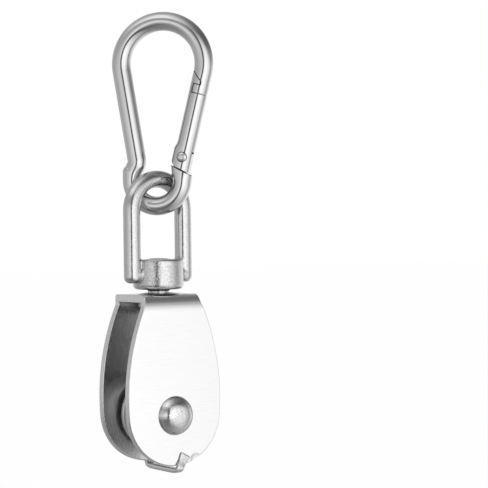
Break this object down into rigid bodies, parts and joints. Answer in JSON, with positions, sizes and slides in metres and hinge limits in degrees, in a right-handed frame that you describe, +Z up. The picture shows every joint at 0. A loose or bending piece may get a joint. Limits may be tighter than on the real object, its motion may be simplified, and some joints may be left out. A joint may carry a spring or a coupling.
{
  "type": "swivel pulley block with snap hook",
  "caption": "Pulley block: folded sheet housing, grooved sheave on a riveted axle, swivel eye, and a sprung-gate snap hook linked through the eye.",
  "frame": {"origin": "centre of the sheave, in the middle of the rope groove's plane", "axes": "+Z up along the swivel pin, towards the hook; the sheave turns about Y, and the front cheek with the hammered tie faces -Y"},
  "size_m": [0.021, 0.0163, 0.0909],
  "materials": {
    "polished_stainless": "polished bent wire",
    "cast_stainless": "tumbled and polished casting",
    "sheet_stainless": "polished sheet",
    "turned_stainless": "turned bar, lightly polished",
    "spring_wire": "drawn spring wire"
  },
  "bodies": {
    "hook": {"hook_body": "polished_stainless", "gate_rivet": "polished_stainless"},
    "gate": {"hook_gate": "polished_stainless", "gate_spring": "spring_wire"},
    "plunger": {"gate_plunger": "turned_stainless"},
    "eye": {"swivel_eye": "cast_stainless", "swivel_pin": "turned_stainless"},
    "block": {"housing": "sheet_stainless", "axle_rivet": "turned_stainless"},
    "sheave": {"sheave": "turned_stainless"}
  },
  "joints": [
    {"name": "gate_hinge", "type": "hinge", "parent": "hook", "child": "gate", "pos_m": [0.00387, -0.0039, 0.0505], "axis": [-0.7099, -0.7043, 0], "range_deg": [0, 38], "stiffness_Nm_per_rad": 0.01, "springref_deg": -68.75},
    {"name": "plunger_slide", "type": "slide", "parent": "gate", "child": "plunger", "axis": [0.1686, -0.1699, 0.9709], "range_m": [0, 0.0005], "deforming": ["gate_spring"]},
    {"name": "eye_turn", "type": "hinge", "parent": "hook", "child": "eye", "pos_m": [0, 0, 0.0463], "axis": [0, 0, 1], "range_deg": [0, 79]},
    {"name": "block_swivel", "type": "hinge", "parent": "eye", "child": "block", "pos_m": [0, 0, 0.0229], "axis": [0, 0, 1], "continuous": true},
    {"name": "sheave_spin", "type": "hinge", "parent": "block", "child": "sheave", "pos_m": [0, 0, 0], "axis": [0, 1, 0], "continuous": true}
  ],
  "couplings": [
    {"joint": "plunger_slide", "follows": "gate_hinge", "m_per_rad": 0.0007}
  ]
}
